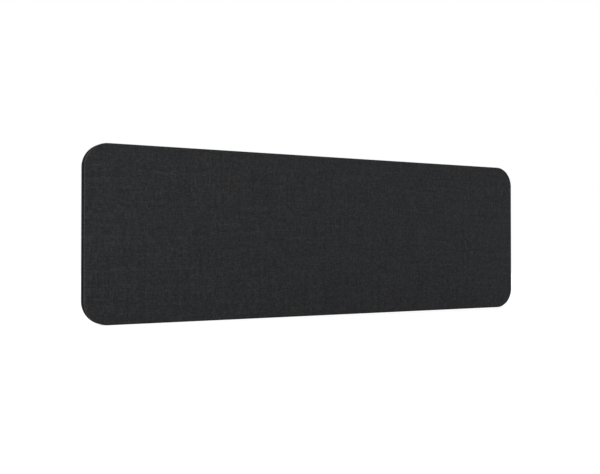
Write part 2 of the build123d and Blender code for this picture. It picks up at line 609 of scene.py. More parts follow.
@dataclass(frozen=True)
class CoverCloth(Finish):
    """Charcoal upholstery cloth in plain weave, of yarns with darker and lighter fibres.

    Attributes:
        yarn: Distance from yarn to yarn.
        slub: Length over which a yarn keeps its tone.
        wander: How far the yarns wander from their straight lines, at most.
        warm: Colour of the browner fibres.
        cool: Colour of the bluer fibres.
        hues: Share of the bluer fibres where the hue is 0 and where it is 1, kept from 0 to 1.
        melange: How far the yarns' tone goes up and down, in doublings.
        speck: Small darker and lighter spots.
        speck_tones: Tone of the darkest and lightest spots.
        fibre_tones: Tone of the darkest and lightest fibres.
        streaks: The sets of streaks in the cloth.
        crown: How flat the yarns' crowns look in the painted shade, from 1 for round ones towards
            0.
        gap_shade_tones: Painted shade, as the tone in the gaps between the yarns and on their
            crowns.
        fibre_height: Height of the fibres as a share of that of the crowns.
        weave_depth: Height of the yarns' crowns.
        specular: Strength of the plain reflection.
        sheen: Strength of the sheen.
        sheen_roughness: How soft the sheen is.
        sheen_tint: Colour of the sheen.
    """

    yarn: float = 1.25 * MM
    slub: float = 13 * MM
    wander: float = 0.7 * MM
    warm: Colour = (0.030, 0.0284, 0.0273)
    cool: Colour = (0.0236, 0.0262, 0.0305)
    hues: Range = (-0.375, 1.375)
    melange: float = 1.8
    speck: Noise = Noise(280.0, detail=3.0, roughness=0.7)
    speck_tones: Range = (0.3, 1.7)
    fibre_tones: Range = (0.45, 1.55)
    streaks: tuple[Streaks, ...] = (
        Streaks(Noise(240.0), slimness=0.3, swing=0.4, tint=0.4),
        Streaks(Noise(90.0, roughness=0.9), slimness=0.08, swing=0.325),
    )
    crown: float = 0.8
    gap_shade_tones: Range = (0.12, 1.5)
    fibre_height: float = 0.3
    weave_depth: float = 0.25 * MM
    specular: float = 0.12
    sheen: float = 0.06
    sheen_roughness: float = 0.4
    sheen_tint: Colour = (0.85, 0.9, 1.0)

    def gloss(self) -> Inputs:
        """A faint reflection and a soft sheen."""
        return {
            "Specular IOR Level": self.specular,
            "Sheen Weight": self.sheen,
            "Sheen Roughness": self.sheen_roughness,
            "Sheen Tint": opaque(self.sheen_tint),
        }

    def place(self, graph: Graph) -> Socket:
        """The cut cloth's own flat coordinates, in metres."""
        return graph.add("UVMap", uv_map=CLOTH_MAP).outputs[0]

    def dress(self, graph: Graph, shader: Node) -> None:
        """Adds the weave, its fibres and spots, the streaks, and painted shade between the yarns.

        Args:
            graph: The material's tree.
            shader: Its shader.
        """
        place = self.place(graph)
        sizes = {"Yarn": self.yarn, "Slub": self.slub, "Wander": self.wander}
        weave = WEAVE.place(graph, {"Place": place, **sizes})
        doublings = graph.remap(weave["Tone"], -self.melange, self.melange)
        tones = [
            graph.math("POWER", 2.0, doublings),
            graph.remap(self.speck.at(graph, place)["Fac"], *self.speck_tones),
            graph.remap(weave["Fibre"], *self.fibre_tones),
        ]
        hues = [weave["Hue"]]
        for layer, streaks in enumerate(self.streaks):
            for tone, hue in streaks.at(graph, place, float(layer)):
                tones.append(tone)
                hues.append(hue)
        # Painted shade: darkest in the gaps between the yarns, lightest on their crowns.
        crown = graph.math("POWER", weave["Height"], self.crown)
        tones.append(graph.remap(crown, *self.gap_shade_tones))
        tone = graph.chain("MULTIPLY", tones)
        grey = graph.add("CombineColor", {0: tone, 1: tone, 2: tone}).outputs[0]
        coolness = graph.remap(graph.chain("ADD", hues), *self.hues, clamp=True)
        colour = graph.mix(coolness, opaque(self.warm), opaque(self.cool))
        colour = graph.mix(1.0, colour, grey, blend="MULTIPLY")
        graph.feed(shader.inputs["Base Color"], colour)
        height = graph.math("MULTIPLY_ADD", weave["Fibre"], self.fibre_height, weave["Height"])
        self.bump(graph, shader, height, self.weave_depth)


@dataclass(frozen=True)
class TapeCloth(Finish):
    """Tightly woven zip tape in herringbone.

    Attributes:
        rib: Width of one rib.
        zigzag: Width of one stripe of the herringbone, in ribs.
        depth: Height of the ribs.
        shades: Painted shade in the gaps between the ribs and on the ribs, as shares of the
            colour.
        specular: Strength of the plain reflection.
    """

    rib: float = 0.8 * MM
    zigzag: float = 4.0
    depth: float = 0.12 * MM
    shades: Range = (0.6, 1.4)
    specular: float = 0.25

    def gloss(self) -> Inputs:
        """A weak reflection."""
        return {"Specular IOR Level": self.specular}

    def dress(self, graph: Graph, shader: Node) -> None:
        """Adds the ribs, with painted shade in the gaps between them.

        Args:
            graph: The material's tree.
            shader: Its shader.
        """
        split = graph.split(self.place(graph))
        width = self.zigzag * self.rib
        stripe = graph.math("FRACT", graph.math("DIVIDE", split[1], width))
        skew = graph.math("ABSOLUTE", graph.math("SUBTRACT", stripe, 0.5))
        way = graph.math("ADD", split[0], split[2])
        way = graph.math("MULTIPLY_ADD", skew, width, way)
        turns = graph.math("MULTIPLY", way, 2 * math.pi / self.rib)
        rib = graph.share(graph.math("SINE", turns))
        # Painted shade: darker in the gaps between the ribs, lighter on the ribs.
        self.tint(graph, shader, rib, self.shades)
        self.bump(graph, shader, rib, self.depth)


@dataclass(frozen=True)
class Moulded(Finish):
    """Moulded or painted surface with a fine grain and brighter, worn patches.

    Attributes:
        shade: Shade of the unworn surface, as a share of the colour.
        worn: Shade of the worn spots, as a share of the colour.
        patches: Where the surface is worn and rougher.
        wear: Wear where the patches' noise is 0 and where it is 1, kept from 0 to 1.
        unevenness: How far the roughness goes up and down with the patches.
        grain: The surface's fine grain.
        grain_depth: Height of the grain.
    """

    shade: float = 0.85
    worn: float = 1.3
    patches: Noise = Noise(220.0, detail=4.0)
    wear: Range = (-1.2, 1.8)
    unevenness: float = 0.1
    grain: Noise = Noise(1800.0, detail=3.0)
    grain_depth: float = 0.01 * MM

    def dress(self, graph: Graph, shader: Node) -> None:
        """Adds the grain and the wear.

        Args:
            graph: The material's tree.
            shader: Its shader.
        """
        place = self.place(graph)
        patch = self.patches.at(graph, place)["Fac"]
        wear = graph.remap(patch, *self.wear, clamp=True)
        self.tint(graph, shader, wear, (self.shade, self.worn))
        ends = (self.roughness - self.unevenness, self.roughness + self.unevenness)
        graph.feed(shader.inputs["Roughness"], graph.remap(patch, *ends))
        self.bump(graph, shader, self.grain.at(graph, place)["Fac"], self.grain_depth)


class GrainWay(Enum):
    """The way that a piece's grain runs, with its turn about Y."""

    ALONG = 0.0
    UPRIGHT = QUARTER


@dataclass(frozen=True)
class Wood(Finish):
    """Timber or pressed board.

    Attributes:
        way: The way that the grain runs.
        stretch: Length of the grain, smaller for longer lines.
        scale: Grain lines in a metre.
        lines: Strength of the lines where their noise is 0 and where it is 1, kept from 0 to 1.
        shades: Shade between the lines and on them, as shares of the colour.
        pore_depth: Depth of the pores.
    """

    way: GrainWay = GrainWay.ALONG
    stretch: float = 0.06
    scale: float = 60.0
    lines: Range = (-0.5, 1.5)
    shades: Range = (0.6, 1.25)
    pore_depth: float = 0.05 * MM

    def dress(self, graph: Graph, shader: Node) -> None:
        """Adds the grain.

        Args:
            graph: The material's tree.
            shader: Its shader.
        """
        turn = (0.0, self.way.value, 0.0)
        turned = graph.add("Mapping", {"Vector": self.place(graph), "Rotation": turn})
        inputs = {"Place": turned.outputs[0], "Stretch": self.stretch, "Scale": self.scale}
        grain = GRAIN.place(graph, inputs)
        line = graph.remap(grain["Line"], *self.lines, clamp=True)
        self.tint(graph, shader, line, self.shades)
        self.bump(graph, shader, grain["Pore"], self.pore_depth)


@dataclass(frozen=True)
class Fleece(Finish):
    """Wadding or felt of loose fibres.

    Attributes:
        scale: Fibres in a metre.
        depth: Height of the fibres.
        shades: Shade between the clumps and on them, as shares of the colour.
    """

    scale: float = 400.0
    depth: float = 0.4 * MM
    shades: Range = (0.75, 1.15)

    def dress(self, graph: Graph, shader: Node) -> None:
        """Adds the fibres.

        Args:
            graph: The material's tree.
            shader: Its shader.
        """
        fibres = FIBRES.place(graph, {"Place": self.place(graph), "Scale": self.scale})
        self.tint(graph, shader, fibres["Clump"], self.shades)
        self.bump(graph, shader, fibres["Tangle"], self.depth)


COVER_CLOTH = CoverCloth("cover_cloth", "cover_fabric", (0.026, 0.027, 0.03), roughness=0.9)
WADDING = Fleece("fleece", "wadding", (0.8, 0.8, 0.78), roughness=0.95)
HARDBOARD = Wood("pressed_board", "hardboard", (0.2, 0.11, 0.06), 0.75, stretch=0.8, scale=500.0)
SCREW_STEEL = Moulded("plated_steel", "screw_steel", (0.6, 0.6, 0.6), 0.35, 1.0, worn=1.05)
TIMBER = Wood("timber_along", "timber", (0.55, 0.38, 0.22), roughness=0.7)
STILE = Wood("timber_upright", "timber", TIMBER.colour, roughness=0.7, way=GrainWay.UPRIGHT)
DOWEL_WOOD = Wood("dowel_beech", "dowel_wood", (0.6, 0.42, 0.25), roughness=0.6, scale=140.0)
ABSORBER = Fleece("absorber_felt", "absorber", (0.3, 0.3, 0.31), 0.95, scale=260.0, depth=0.6 * MM)
ZIP_TAPE = TapeCloth("tape_weave", "zip_tape", (0.012, 0.012, 0.013), roughness=0.85)
THREAD = Moulded("thread", "zip_tape", (0.035, 0.035, 0.037), roughness=0.6)
ZIP_TEETH = Moulded("coil_nylon", "zip_teeth", (0.015, 0.015, 0.016), roughness=0.38)
ZIP_METAL = Moulded("painted_metal", "zip_metal", (0.02, 0.02, 0.022), roughness=0.32, worn=2.2)
NODE_FINISHES = {
    "_board_screws": SCREW_STEEL,
    "_board": HARDBOARD,
    "frame_dowels": DOWEL_WOOD,
    "stile": STILE,
    "rail": TIMBER,
    "corner_block": TIMBER,
    "zip_start_box": ZIP_METAL,
    "zip_end_stops": ZIP_METAL,
}


def once(items: Iterable[Item]) -> list[Item]:
    """The items in their order, each once."""
    return list(dict.fromkeys(items))


def whole(made: Shape) -> list[object]:
    """Every vertex, edge and face of a shape, as the operators take them."""
    return [*made.verts, *made.edges, *made.faces]


def verts_in(geom: Iterable[object]) -> list[Vert]:
    """The vertices among what an operator gives back."""
    return [part for part in geom if isinstance(part, Vert)]


def edges_in(geom: Iterable[object]) -> Ring:
    """The edges among what an operator gives back."""
    return [part for part in geom if isinstance(part, bmesh.types.BMEdge)]


def to_mesh(made: Shape, name: str) -> bpy.types.Mesh:
    """Turns a shape into a mesh.

    Args:
        made: The shape, which is freed.
        name: The mesh's name.

    Returns:
        The mesh.
    """
    mesh = bpy.data.meshes.new(name)
    made.to_mesh(mesh)
    made.free()
    return mesh


def put(name: str, data: bpy.types.ID) -> bpy.types.Object:
    """Adds an object to the scene, at the origin.

    Args:
        name: Its name.
        data: Its mesh, lamp or camera.

    Returns:
        The object.
    """
    thing = bpy.data.objects.new(name, data)
    bpy.context.scene.collection.objects.link(thing)
    return thing


def join(shapes: Iterable[Shape]) -> Shape:
    """Puts shapes together into one.

    Args:
        shapes: The shapes, which are freed.

    Returns:
        One shape with all of them.
    """
    made = bmesh.new()
    for shape in shapes:
        mesh = to_mesh(shape, "part")
        made.from_mesh(mesh)
        bpy.data.meshes.remove(mesh)
    return made


def fill_ends(made: Shape) -> None:
    """Closes every open end of a shape with a face, and points all faces outwards."""
    bmesh.ops.holes_fill(made, edges=[edge for edge in made.edges if edge.is_boundary])
    bmesh.ops.recalc_face_normals(made, faces=made.faces)


def swell(spot: Vector) -> float:
    """Smooth noise from 0 to 1."""
    return 0.5 + 0.5 * noise.noise(spot)


def places(low: float, high: float, step: float) -> list[float]:
    """Even places between two ends, about a step apart."""
    count = round((high - low) / step)
    return [low + (high - low) * i / count for i in range(1, count)]


def cut_squares(
    made: Shape, low: Vector, high: Vector, step: float, chosen: Callable[[Vert], bool]
) -> None:
    """Cuts faces into squares along X and Z, so that they can be made uneven.

    Args:
        made: The shape.
        low: Its lowest corner.
        high: Its highest corner.
        step: About how wide the squares are.
        chosen: Tells of a vertex whether it belongs to what is cut.
    """
    for axis in (0, 2):
        normal = Vector((axis == 0, 0, axis == 2))
        for place in places(low[axis], high[axis], step):
            faces = [face for face in made.faces if all(map(chosen, face.verts))]
            geom = once(part for face in faces for part in (face, *face.edges, *face.verts))
            spot = normal * place
            bmesh.ops.bisect_plane(
                made, geom=geom, plane_co=spot, plane_no=normal, dist=SAME_LEVEL
            )


def finish_mesh(made: Shape, name: str, finish: Finish, body: str = "screen") -> Piece:
    """Turns a shape into a piece of the object.

    Args:
        made: The shape, which is freed.
        name: The piece's name.
        finish: Its finish.
        body: The body that it rides on.

    Returns:
        The piece, at the origin and smooth but for its sharp edges.
    """
    for face in made.faces:
        face.smooth = True
    for edge in made.edges:
        edge.smooth = edge.calc_face_angle(0.0) < SHARP_ANGLE
    piece = put(name, to_mesh(made, name))
    piece.data.materials.append(finish.material())
    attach(piece, body)
    log.info("%s: %d faces, finish %s", name, len(piece.data.polygons), finish.name)
    return piece


def soften(piece: Piece) -> None:
    """Rounds the sharp edges of a metal piece.

    Args:
        piece: The piece.
    """
    weld = piece.modifiers.new("weld", "WELD")
    weld.merge_threshold = SAME_SPOT
    soft = piece.modifiers.new("soft_edges", "BEVEL")
    soft.width = SOFT_WIDTH
    soft.segments = SOFT_STEPS
    soft.limit_method = "ANGLE"
    soft.angle_limit = SOFT_ANGLE


def metal_piece(solids: list[Shape], name: str, body: str, node: str) -> None:
    """Joins solids into one piece of zip metal with soft edges.

    Args:
        solids: The solids, which are freed.
        name: The piece's name.
        body: The body that it rides on.
        node: The node that it stands for.
    """
    piece = finish_mesh(join(solids), name, ZIP_METAL, body)
    soften(piece)
    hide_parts(node)


def prism(points: list[Vector], way: Vector) -> Shape:
    """Makes a solid from a flat outline.

    Args:
        points: The points round the outline.
        way: The way from the flat outline to the solid's other side.

    Returns:
        The solid.
    """
    made = bmesh.new()
    before = points[-1:] + points[:-1]
    spots = [a for a, b in zip(points, before) if (a - b).length > SAME_SPOT]
    made.faces.new([made.verts.new(spot) for spot in spots])
    grown = bmesh.ops.extrude_face_region(made, geom=made.faces[:], use_keep_orig=True)["geom"]
    bmesh.ops.translate(made, verts=verts_in(grown), vec=way)
    bmesh.ops.recalc_face_normals(made, faces=made.faces)
    return made


def arc(centre: Point, radius: float, start: float, end: float, steps: int) -> list[Point]:
    """Points along an arc of a profile.

    Args:
        centre: The arc's centre, as inset and depth.
        radius: Its radius.
        start: The angle that it starts at, in degrees, where 0 is further in from the outline
            and 90 is further out from the middle of the thickness.
        end: The angle that it ends at.
        steps: How many segments it has.

    Returns:
        The points, both ends included.
    """
    angles = [math.radians(start + (end - start) * i / steps) for i in range(steps + 1)]
    return [(centre[0] + radius * math.cos(a), centre[1] + radius * math.sin(a)) for a in angles]


def rounded(points: list[Point], radius: float, steps: int = 4) -> list[Point]:
    """Rounds the corners of an open line, but not its two ends.

    Args:
        points: The line's corners.
        radius: How far each corner is cut back along its sides, or less on a short side.
        steps: Segments of each round corner.

    Returns:
        The line with a smooth curve at each corner.
    """
    found = [points[0]]
    for before, corner, after in zip(points, points[1:], points[2:]):
        here = Vector(corner)
        ways = [Vector(other) - here for other in (before, after)]
        ends = [here + way * min(0.5, radius / way.length) for way in ways]
        for i in range(steps + 1):
            t = i / steps
            spot = ends[0] * (1 - t) ** 2 + here * 2 * t * (1 - t) + ends[1] * t**2
            found.append((spot.x, spot.y))
    return [*found, points[-1]]


def mirrored(half: list[Point]) -> list[Point]:
    """Completes an outline whose half has both its ends on the line Y = 0."""
    return half + [(x, -y) for x, y in half[-2:0:-1]]


@dataclass(frozen=True)
class Run:
    """A straight or round stretch of the screen's outline.

    Attributes:
        start: Way along the outline to its start.
        length: Its length.
        spot: Where it starts.
        heading: Its direction there, as an angle from +X towards +Z.
        centre: Centre of a round stretch, which makes a quarter turn.
    """

    start: float
    length: float
    spot: Vector
    heading: float
    centre: Vector | None = None

    @property
    def end(self) -> float:
        """Way along the outline to its end."""
        return self.start + self.length

    def place(self, way: float) -> Matrix:
        """Where a point of it is, and how a shape there is turned.

        Args:
            way: Way along the outline, from the middle of the bottom.

        Returns:
            A matrix whose X goes along the outline, Y across the thickness and Z inwards.
        """
        past = way - self.start
        turn = self.heading + (past / self.length * QUARTER if self.centre else 0.0)
        along = Vector((math.cos(turn), 0, math.sin(turn)))
        inwards = Vector((-math.sin(turn), 0, math.cos(turn)))
        spot = self.spot + along * past
        if self.centre:
            spot = self.centre - inwards * (self.length / QUARTER)
        turned = Matrix((along, Vector((0, 1, 0)), inwards)).transposed().to_4x4()
        return Matrix.Translation(spot) @ turned


@dataclass(frozen=True)
class Edge:
    """The rounded outline of the screen, which everything round its edge follows.

    Attributes:
        half_length: Half the screen's length.
        height: The screen's height.
        radius: Radius of its corners.
        corner_steps: Segments in each corner.
        run_step: Longest segment of a straight run.
    """

    half_length: float
    height: float
    radius: float
    corner_steps: int = 28
    run_step: float = 50 * MM

    @property
    def flat(self) -> float:
        """Half the straight part of the top and bottom."""
        return self.half_length - self.radius

    @property
    def rise(self) -> float:
        """The straight part of each end."""
        return self.height - 2 * self.radius

    @property
    def girth(self) -> float:
        """The length of the whole outline."""
        return self.runs()[-1].end

    def runs(self) -> list[Run]:
        """The stretches of the outline, from the middle of the bottom to the right and round.

        Returns:
            Straight and round stretches by turns, the first and the last straight.
        """
        lengths = [self.flat, self.rise, 2 * self.flat, self.rise, self.flat]
        found: list[Run] = []
        way, spot = 0.0, Vector((0, 0, 0))
        for i, length in enumerate(lengths):
            straight = Run(way, length, spot, heading=i * QUARTER)
            found.append(straight)
            if i == len(lengths) - 1:
                break
            at_end = straight.place(straight.end)
            along, inwards = at_end.col[0].to_3d(), at_end.col[2].to_3d()
            centre = at_end.translation + inwards * self.radius
            turn = QUARTER * self.radius
            corner = Run(straight.end, turn, at_end.translation, straight.heading, centre)
            found.append(corner)
            way, spot = corner.end, centre + along * self.radius
        return found

    def sweep(self, profile: list[Point], side: Side, closed: bool, gap: float = 0.0) -> Shape:
        """Draws a profile round the whole outline, from the middle of the bottom and back.

        Args:
            profile: Points of the profile, each its inset from the outline and its distance
                from the middle of the thickness.
            side: The side of the screen that it is on.
            closed: Whether the profile's last point joins its first.
            gap: What is left open on each side of the middle of the bottom.

        Returns:
            The swept surface. It meets itself if the gap is 0.
        """
        made = bmesh.new()
        verts = [made.verts.new((gap, side.value * depth, inset)) for inset, depth in profile]
        edges = [made.edges.new(pair) for pair in zip(verts, verts[1:])]
        if closed:
            edges.append(made.edges.new((verts[-1], verts[0])))
        runs = self.runs()
        for run in runs:
            if run.centre is None:
                trim = gap if run in (runs[0], runs[-1]) else 0.0
                along = run.place(run.start).col[0].to_3d()
                edges = self.extend(made, edges, along * (run.length - trim))
            else:
                edges = self.turn(made, edges, run.centre)
        bmesh.ops.remove_doubles(made, verts=made.verts, dist=SAME_LEVEL)
        return made

    def turn(self, made: Shape, edges: Ring, centre: Vector) -> Ring:
        """Spins a ring of edges round a corner.

        Args:
            made: The shape.
            edges: The ring.
            centre: The corner's centre.

        Returns:
            The ring at the end of the corner.
        """
        spun = bmesh.ops.spin(
            made,
            geom=edges + once(vert for edge in edges for vert in edge.verts),
            cent=centre,
            axis=SPIN_AXIS,
            angle=QUARTER,
            steps=self.corner_steps,
            use_merge=False,
        )
        return edges_in(spun["geom_last"])

    def extend(self, made: Shape, edges: Ring, run: Vector) -> Ring:
        """Extrudes a ring of edges along a straight run, in steps.

        Args:
            made: The shape.
            edges: The ring.
            run: The whole way.

        Returns:
            The ring at the end of the run.
        """
        steps = max(1, round(run.length / self.run_step))
        for _ in range(steps):
            grown = bmesh.ops.extrude_edge_only(made, edges=edges)["geom"]
            moved = verts_in(grown)
            bmesh.ops.translate(made, verts=moved, vec=run / steps)
            edges = [edge for edge in edges_in(grown) if set(moved).issuperset(edge.verts)]
        return edges

    def spread(self, shape: Shape, first: float, last: float, pitch: float) -> Shape:
        """Repeats a small shape along the outline.

        Args:
            shape: The shape, with X along the outline, Y across the thickness and Z its inset.
                It is freed.
            first: Way along the outline to the first one.
            last: Way along the outline that the last one doesn't pass.
            pitch: Distance from one to the next, along the outline.

        Returns:
            All of them in one shape.
        """
        rows = []
        way = first
        for run in self.runs():
            left = min(run.end, last) - way
            if left < 0:
                continue
            count = math.floor(left / pitch) + 1
            row = shape.copy()
            bmesh.ops.transform(row, matrix=run.place(way), verts=row.verts)
            self.fill_row(row, run, way, pitch, count)
            rows.append(row)
            way += count * pitch
        shape.free()
        return join(rows)

    def fill_row(self, row: Shape, run: Run, way: float, pitch: float, count: int) -> None:
        """Copies the first shape of a row along its run, twice as many each time.

        Args:
            row: The row, with its first shape in place.
            run: The run.
            way: Way along the outline to the first shape.
            pitch: Distance from one shape to the next.
            count: How many the row has in the end.
        """
        sizes = len(row.verts), len(row.edges), len(row.faces)
        first = run.place(way).inverted()
        have = 1
        while have < count:
            take = min(have, count - have)
            parts = zip((row.verts, row.edges, row.faces), sizes)
            geom = [item for part, size in parts for item in part[: take * size]]
            copied = bmesh.ops.duplicate(row, geom=geom)["geom"]
            move = run.place(way + have * pitch) @ first
            bmesh.ops.transform(row, matrix=move, verts=verts_in(copied))
            have += take

    def unroll(self, spot: Vector) -> tuple[Vector, Vector]:
        """Splits a point into its place on the middle part of the screen and its way out.

        Args:
            spot: The point, in the frame.

        Returns:
            The nearest point, in X and Z, of the rectangle that joins the corners' centres, and
            the vector from there to the point.
        """
        near = Vector((
            max(-self.flat, min(self.flat, spot.x)),
            max(self.radius, min(self.height - self.radius, spot.z)),
        ))
        return near, Vector((spot.x, spot.z)) - near


@dataclass
class FaceSheet:
    """A sheet over one face of the screen, turned round the screen's edge.

    Attributes:
        edge: The screen's outline.
        side: The side that it is on.
        face: Distance of its face from the middle of the thickness.
        back: Distance of its hem or back from the middle of the thickness.
        face_step: Size of the squares that its face is cut into.
        wave: Height of the slight waves of its face.
        wave_scale: Waves in a metre.
        calm: Width of the strip along the edge where the waves fade out.
    """

    edge: Edge
    side: Side
    face: float
    back: float
    face_step: float = 50 * MM
    wave: float = 0.25 * MM
    wave_scale: float = 6.0
    calm: float = 20 * MM

    def profile(self) -> list[Point]:
        """The sheet's section, which ends on its flat face."""
        raise NotImplementedError

    def on_face(self, vert: Vert) -> bool:
        """Whether a vertex lies on the flat face."""
        return abs(abs(vert.co.y) - self.face) < SAME_LEVEL

    def surface(self) -> Shape:
        """Makes the sheet, from its profile swept round the edge and its face filled in.

        Returns:
            The shape, with the flat coordinates of the cut in the UV map for cloth.
        """
        profile = self.profile()
        made = self.edge.sweep(profile, self.side, closed=False)
        rim = [e for e in made.edges if e.is_boundary and all(map(self.on_face, e.verts))]
        bmesh.ops.contextual_create(made, geom=rim)
        low = Vector((-self.edge.half_length, 0, 0))
        high = Vector((self.edge.half_length, 0, self.edge.height))
        cut_squares(made, low, high, self.face_step, self.on_face)
        self.lay_flat(made, profile)
        self.ripple(made)
        return made

    def lay_flat(self, made: Shape, profile: list[Point]) -> None:
        """Gives the sheet the coordinates of its flat cut.

        Args:
            made: The sheet.
            profile: Its section.
        """
        inwards = profile[::-1]
        runs = [0.0]
        for a, b in zip(inwards, inwards[1:]):
            runs.append(runs[-1] + math.dist(a, b))
        first = self.edge.radius - inwards[0][0]
        layer = made.loops.layers.uv.new(CLOTH_MAP)
        for face in made.faces:
            for loop in face.loops:
                spot = loop.vert.co
                near, out = self.edge.unroll(spot)
                reach = out.length
                if reach > first + SAME_LEVEL:
                    here = (self.edge.radius - reach, abs(spot.y))
                    knot = min(range(len(runs)), key=lambda i: math.dist(inwards[i], here))
                    out = out.normalized() * (first + runs[knot])
                loop[layer].uv = near + out

    def ripple(self, made: Shape) -> None:
        """Lets the face wave a little, as cloth over wadding does.

        Args:
            made: The sheet.
        """
        for vert in filter(self.on_face, made.verts):
            out = self.edge.unroll(vert.co)[1]
            share = min(1.0, max(0.0, (self.edge.radius - out.length) / self.calm))
            spot = Vector((vert.co.x, self.side.value, vert.co.z)) * self.wave_scale
            vert.co.y -= self.side.value * self.wave * share * swell(spot)

    def face_outwards(self, made: Shape) -> None:
        """Points the faces of an open sheet away from the screen's middle.

        Args:
            made: The sheet.
        """
        bmesh.ops.recalc_face_normals(made, faces=made.faces)
        if sum(face.normal.y * face.calc_area() for face in made.faces) * self.side.value < 0:
            bmesh.ops.reverse_faces(made, faces=made.faces)


@dataclass
class Cover(FaceSheet):
    """One of the two fabric covers, turned over the edge and into the zip recess.

    Attributes:
        roll: Radius of the roll from face to rim.
        roll_steps: Segments of the roll.
        face_shares: Where its last two points lie on the flat face past the roll, in radii of
            the roll.
        rim_steps: Segments of the rim, and of the roll to the hem.
        hem_roll: Radius of the roll from rim to hem.
        hem_depth: How far in the hem reaches.
        thickness: Thickness of the cloth.
        belly: How far the rim swells between its two rolls.
        seam_allowance: Width of the cut that the hem hides.
    """

    roll: float = 3.0 * MM
    roll_steps: int = 8
    face_shares: Point = (0.5, 4.0)
    rim_steps: int = 5
    hem_roll: float = 1.3 * MM
    hem_depth: float = 7.1 * MM
    thickness: float = 0.85 * MM
    belly: float = 0.15 * MM
    seam_allowance: float = 8.0 * MM

    def profile(self) -> list[Point]:
        """The cover's section.

        Returns:
            Its points, from its hem in the recess to its flat face.
        """
        low, high = self.back + self.hem_roll, self.face - self.roll
        hem = arc((self.belly + self.hem_roll, low), self.hem_roll, 270, 180, self.rim_steps)
        shares = [i / self.rim_steps for i in range(1, self.rim_steps)]
        rim = [
            (self.belly * (1 - math.sin(math.pi * share)), low + (high - low) * share)
            for share in shares
        ]
        end = self.belly + self.roll
        roll = arc((end, high), self.roll, 180, 90, self.roll_steps)
        flat = [(end + share * self.roll, self.face) for share in self.face_shares]
        return [(self.hem_depth, self.back), *hem, *rim, *roll, *flat]

    def cut_size(self) -> Point:
        """Width and height of the flat cut: the face, rims, hems and what the hems hide."""
        turned = 2 * (self.face - self.back + self.hem_depth + self.seam_allowance)
        return 2 * self.edge.half_length + turned, self.edge.height + turned

    def build(self, stitches: Piece) -> None:
        """Makes the cover.

        Args:
            stitches: The seam that holds its hem. It is not used.
        """
        made = self.surface()
        self.face_outwards(made)
        piece = finish_mesh(made, f"{self.side.word}_cover_cloth", COVER_CLOTH)
        wall = piece.modifiers.new("thickness", "SOLIDIFY")
        wall.thickness = self.thickness
        wall.offset = -1.0
        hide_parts(f"{self.side.word}_cover")


@dataclass
class Wadding(FaceSheet):
    """The thin fleece between a board and its cover, with soft cut edges.

    Attributes:
        inset: How far its edge lies inside the screen's outline.
        edge_steps: Segments of its soft edge.
        face_share: How far in from its edge its section ends, in halves of its thickness.
    """

    inset: float = 1.3 * MM
    edge_steps: int = 6
    face_share: float = 6.0

    def profile(self) -> list[Point]:
        """The fleece's section.

        Returns:
            Its points, from its back over its soft edge to its face.
        """
        half = (self.face - self.back) / 2
        rim = arc((self.inset + half, self.back + half), half, 270, 90, self.edge_steps)
        far = self.inset + self.face_share * half
        return [(far, self.back), *rim, (far, self.face)]

    def build(self) -> None:
        """Makes the fleece."""
        made = self.surface()
        fill_ends(made)
        piece = finish_mesh(made, f"{self.side.word}_wadding_fleece", WADDING)
        node = f"{self.side.word}_wadding"
        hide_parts(node)


@dataclass
class ZipTape:
    """The woven tape of one side of the zip, with the stitches that hold the hem to it.

    Attributes:
        edge: The screen's outline.
        side: The side that it is on.
        outer: Inset of its outer face.
        thickness: Its thickness.
        slit: Half the slit between the tapes.
        width: Its width.
        end_gap: Half the gap between its ends.
        stitch_pitch: Length of one stitch with the gap after it.
        stitch_share: Share of the pitch that the thread shows for.
        stitch_depth: Distance of the seam from the middle of the thickness.
        stitch_rise: How far a stitch's middle stands off the tape, in radii of the thread.
        stitch_dip: How far its ends dip from there, in radii of the thread.
        thread: Radius of the thread.
        thread_sides: Sides of the thread.
    """

    edge: Edge
    side: Side
    outer: float = 7.3 * MM
    thickness: float = 0.6 * MM
    slit: float = 0.3 * MM
    width: float = 8.6 * MM
    end_gap: float = 0.1 * MM
    stitch_pitch: float = 3.0 * MM
    stitch_share: float = 0.74
    stitch_depth: float = 6.9 * MM
    stitch_rise: float = 0.8
    stitch_dip: float = 1.2
    thread: float = 0.17 * MM
    thread_sides: int = 6

    def build(self) -> None:
        """Makes the tape."""
        inner = self.outer + self.thickness
        far = self.slit + self.width
        section = [(self.outer, self.slit), (self.outer, far), (inner, far), (inner, self.slit)]
        made = self.edge.sweep(section, self.side, closed=True, gap=self.end_gap)
        fill_ends(made)
        piece = finish_mesh(made, f"{self.side.word}_tape_cloth", ZIP_TAPE)
        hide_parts(f"{self.side.word}_zip_tape")

    def stitches(self) -> Piece:
        """Makes the seam: short stitches of thread along the tape beside the hem.

        Returns:
            The piece.
        """
        stitch = bmesh.new()
        bmesh.ops.create_cone(
            stitch,
            cap_ends=True,
            segments=self.thread_sides,
            radius1=self.thread,
            radius2=self.thread,
            depth=self.stitch_share * self.stitch_pitch,
            matrix=Matrix.Rotation(QUARTER, 4, "Y"),
        )
        bmesh.ops.bisect_plane(stitch, geom=whole(stitch), plane_no=(1, 0, 0))
        ends = [vert for vert in stitch.verts if abs(vert.co.x) > SAME_LEVEL]
        bmesh.ops.translate(stitch, verts=ends, vec=(0, 0, self.stitch_dip * self.thread))
        inset = self.outer - self.stitch_rise * self.thread
        spot = (0, self.side.value * self.stitch_depth, inset)
        bmesh.ops.translate(stitch, verts=stitch.verts, vec=spot)
        first = self.end_gap + self.stitch_pitch
        made = self.edge.spread(stitch, first, self.edge.girth - first, self.stitch_pitch)
        return finish_mesh(made, f"{self.side.word}_hem_stitches", THREAD)


